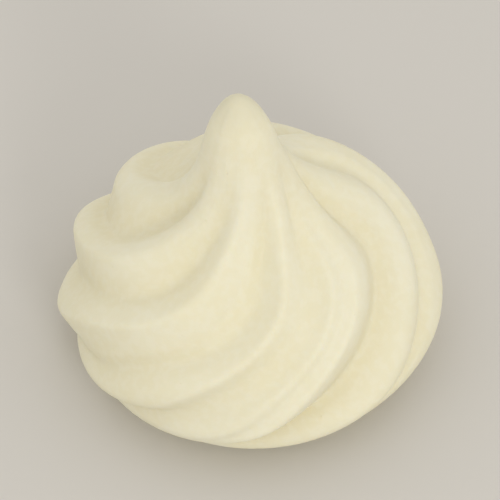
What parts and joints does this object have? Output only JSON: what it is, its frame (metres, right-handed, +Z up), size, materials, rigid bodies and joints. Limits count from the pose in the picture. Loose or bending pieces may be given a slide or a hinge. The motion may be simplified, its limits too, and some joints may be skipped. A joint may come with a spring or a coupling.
{
  "type": "meringue cookie",
  "caption": "Piped meringue cookie: ridged swirl with a flat base that winds clockwise up to a soft, slightly leaning peak, in matt ivory.",
  "frame": {"origin": "middle of the outline on the plane the cookie rests on, at the flat base", "axes": "+Z up along the swirl towards the peak; -Y towards the front, +X to the right seen from the front"},
  "size_m": [0.0546, 0.054, 0.05],
  "materials": {
    "baked_meringue": "matt, dry baked sugar foam, ivory"
  },
  "bodies": {
    "root": {"meringue": "baked_meringue"}
  },
  "joints": []
}
